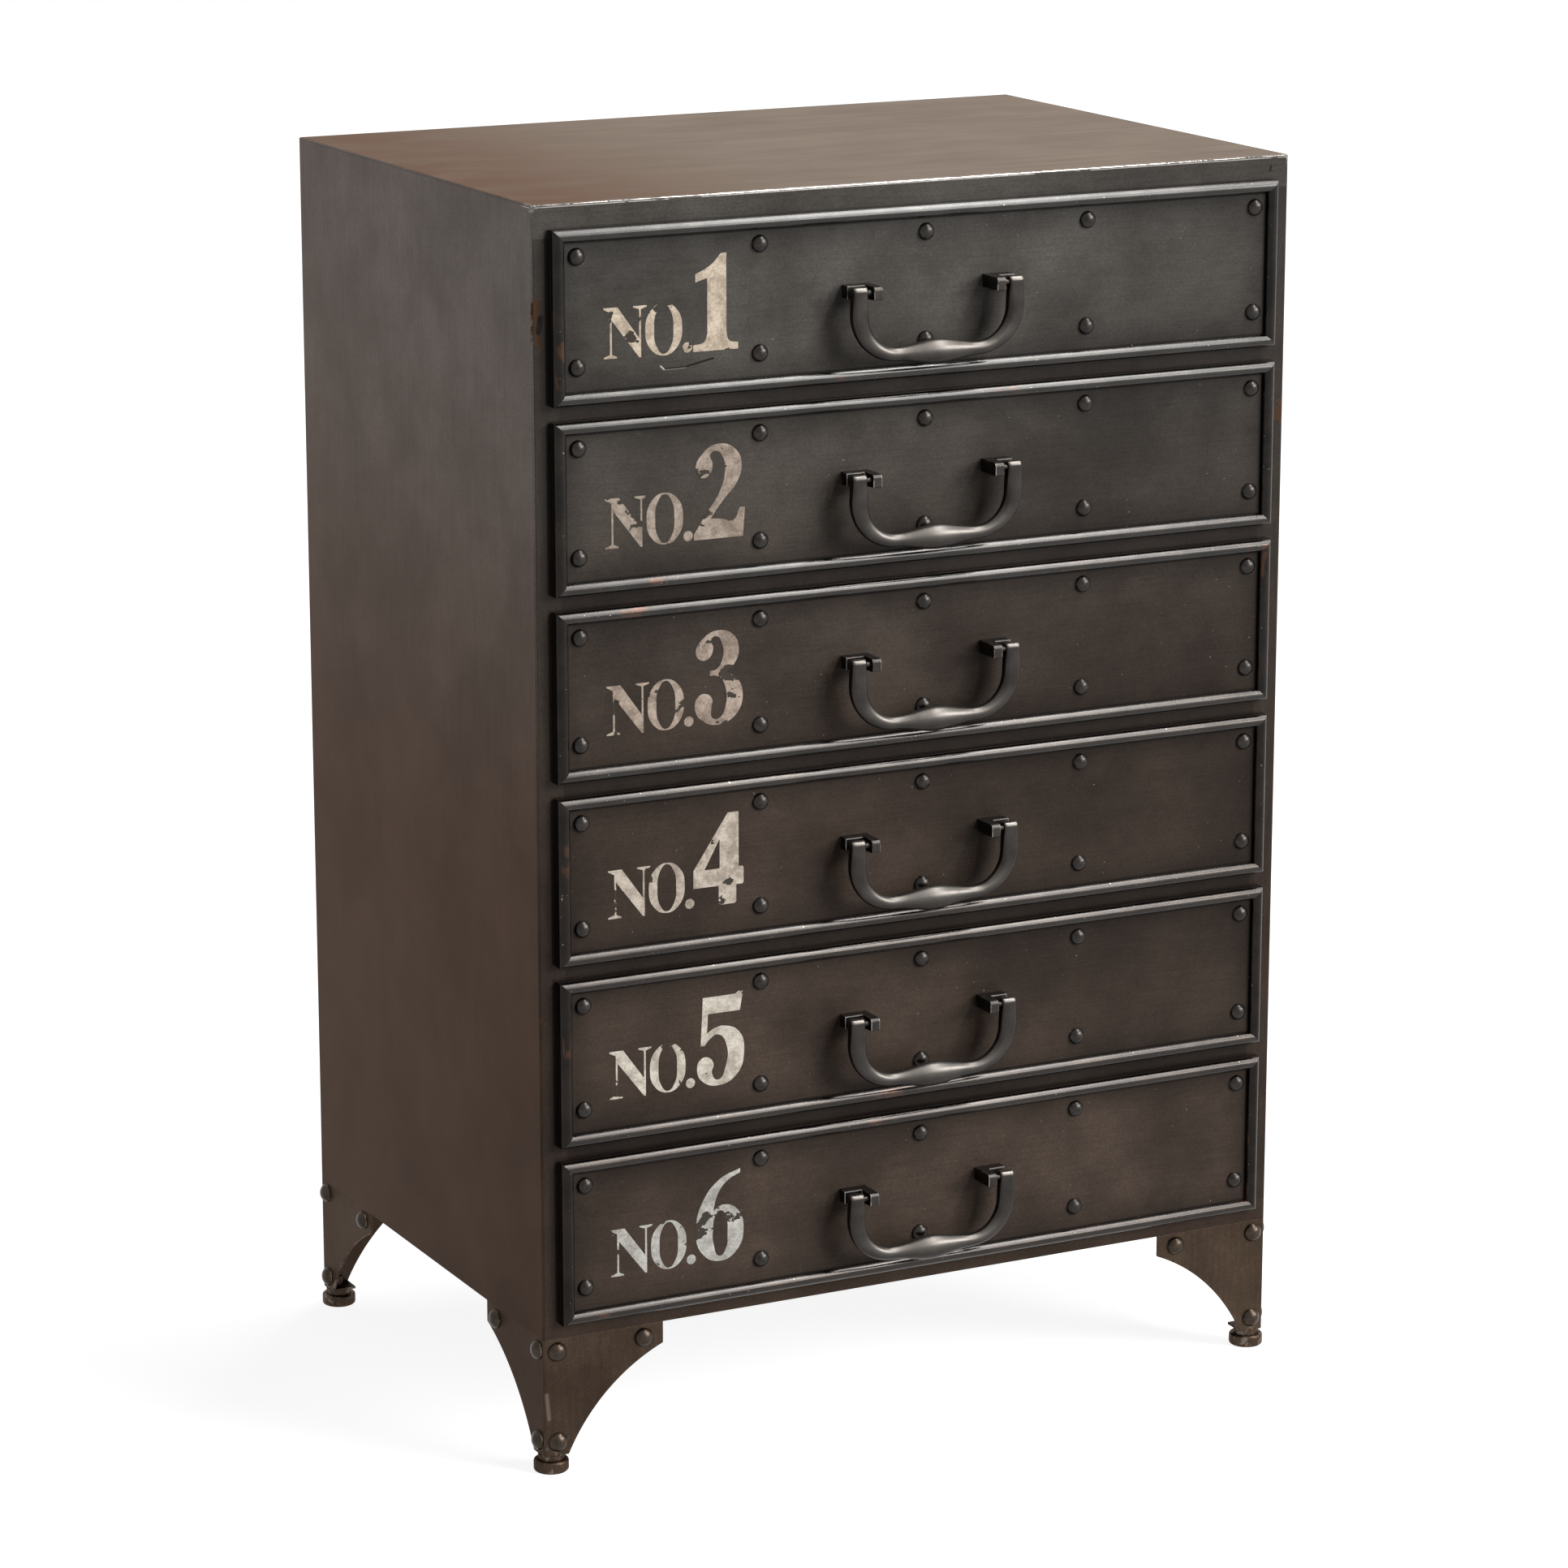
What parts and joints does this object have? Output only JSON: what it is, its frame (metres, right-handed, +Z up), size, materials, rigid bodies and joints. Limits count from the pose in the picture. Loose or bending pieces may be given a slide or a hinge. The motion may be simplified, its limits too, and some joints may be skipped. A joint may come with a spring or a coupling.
{
  "type": "small metal drawer cabinet",
  "caption": "Tall sheet steel drawer cabinet on riveted angle legs, with beaded and riveted drawer fronts, hanging bail handles and painted drawer numbers.",
  "frame": {"origin": "on the floor under the middle of the whole cabinet, handles and leg rivets included", "axes": "+Z up, -Y out of the drawer fronts, +X to the right as one faces the drawers"},
  "size_m": [0.61, 0.4506, 0.909],
  "materials": {
    "case_top": "brushed brown-grey patina under satin lacquer",
    "case_sheet": "dark gunmetal patina under satin lacquer",
    "back_sheet": "dark patina, satin",
    "drawer_front": "dark brushed gunmetal patina under satin lacquer",
    "bead": "gunmetal patina rubbed bright along the crest",
    "leg": "dark bronze patina under satin lacquer",
    "foot": "dark bronze patina, satin",
    "rivet": "dark patina, rubbed on the crown",
    "handle": "sand-cast, gunmetal patina, rubbed grip",
    "bracket": "sand-cast, gunmetal patina, rubbed edges",
    "tray": "plain dark paint, satin",
    "runner": "plain zinc plate",
    "pin": "plain steel",
    "number_paint": "worn cream paint"
  },
  "bodies": {
    "cabinet": {"top_panel": "case_top", "left_side_panel": "case_sheet", "right_side_panel": "case_sheet", "back_panel": "back_sheet", "bottom_panel": "case_sheet", "front_rails": "case_sheet", "left_runners": "runner", "right_runners": "runner", "drawer_guides": "runner", "front_left_leg": "leg", "front_right_leg": "leg", "back_left_leg": "leg", "back_right_leg": "leg", "leg_rivets": "rivet", "front_left_foot": "foot", "front_right_foot": "foot", "back_left_foot": "foot", "back_right_foot": "foot"},
    "drawer_1": {"drawer_1_tray": "tray", "drawer_1_front": "drawer_front", "drawer_1_bead": "bead", "drawer_1_rivets": "rivet", "drawer_1_brackets": "bracket", "drawer_1_pins": "pin"},
    "handle_1": {"drawer_1_handle": "handle"},
    "drawer_2": {"drawer_2_tray": "tray", "drawer_2_front": "drawer_front", "drawer_2_bead": "bead", "drawer_2_rivets": "rivet", "drawer_2_brackets": "bracket", "drawer_2_pins": "pin"},
    "handle_2": {"drawer_2_handle": "handle"},
    "drawer_3": {"drawer_3_tray": "tray", "drawer_3_front": "drawer_front", "drawer_3_bead": "bead", "drawer_3_rivets": "rivet", "drawer_3_brackets": "bracket", "drawer_3_pins": "pin"},
    "handle_3": {"drawer_3_handle": "handle"},
    "drawer_4": {"drawer_4_tray": "tray", "drawer_4_front": "drawer_front", "drawer_4_bead": "bead", "drawer_4_rivets": "rivet", "drawer_4_brackets": "bracket", "drawer_4_pins": "pin"},
    "handle_4": {"drawer_4_handle": "handle"},
    "drawer_5": {"drawer_5_tray": "tray", "drawer_5_front": "drawer_front", "drawer_5_bead": "bead", "drawer_5_rivets": "rivet", "drawer_5_brackets": "bracket", "drawer_5_pins": "pin"},
    "handle_5": {"drawer_5_handle": "handle"},
    "drawer_6": {"drawer_6_tray": "tray", "drawer_6_front": "drawer_front", "drawer_6_bead": "bead", "drawer_6_rivets": "rivet", "drawer_6_brackets": "bracket", "drawer_6_pins": "pin"},
    "handle_6": {"drawer_6_handle": "handle"}
  },
  "joints": [
    {"name": "drawer_1_slide", "type": "slide", "parent": "cabinet", "child": "drawer_1", "axis": [0, -1, 0], "range_m": [0, 0.3]},
    {"name": "drawer_2_slide", "type": "slide", "parent": "cabinet", "child": "drawer_2", "axis": [0, -1, 0], "range_m": [0, 0.3]},
    {"name": "drawer_3_slide", "type": "slide", "parent": "cabinet", "child": "drawer_3", "axis": [0, -1, 0], "range_m": [0, 0.3]},
    {"name": "drawer_4_slide", "type": "slide", "parent": "cabinet", "child": "drawer_4", "axis": [0, -1, 0], "range_m": [0, 0.3]},
    {"name": "drawer_5_slide", "type": "slide", "parent": "cabinet", "child": "drawer_5", "axis": [0, -1, 0], "range_m": [0, 0.3]},
    {"name": "drawer_6_slide", "type": "slide", "parent": "cabinet", "child": "drawer_6", "axis": [0, -1, 0], "range_m": [0, 0.3]},
    {"name": "handle_1_swing", "type": "hinge", "parent": "drawer_1", "child": "handle_1", "pos_m": [0, -0.21825, 0.836], "axis": [-1, 0, 0], "range_deg": [0, 90]},
    {"name": "handle_2_swing", "type": "hinge", "parent": "drawer_2", "child": "handle_2", "pos_m": [0, -0.21825, 0.7042], "axis": [-1, 0, 0], "range_deg": [0, 90]},
    {"name": "handle_3_swing", "type": "hinge", "parent": "drawer_3", "child": "handle_3", "pos_m": [0, -0.21825, 0.5724], "axis": [-1, 0, 0], "range_deg": [0, 90]},
    {"name": "handle_4_swing", "type": "hinge", "parent": "drawer_4", "child": "handle_4", "pos_m": [0, -0.21825, 0.4406], "axis": [-1, 0, 0], "range_deg": [0, 90]},
    {"name": "handle_5_swing", "type": "hinge", "parent": "drawer_5", "child": "handle_5", "pos_m": [0, -0.21825, 0.3088], "axis": [-1, 0, 0], "range_deg": [0, 90]},
    {"name": "handle_6_swing", "type": "hinge", "parent": "drawer_6", "child": "handle_6", "pos_m": [0, -0.21825, 0.177], "axis": [-1, 0, 0], "range_deg": [0, 90]}
  ]
}
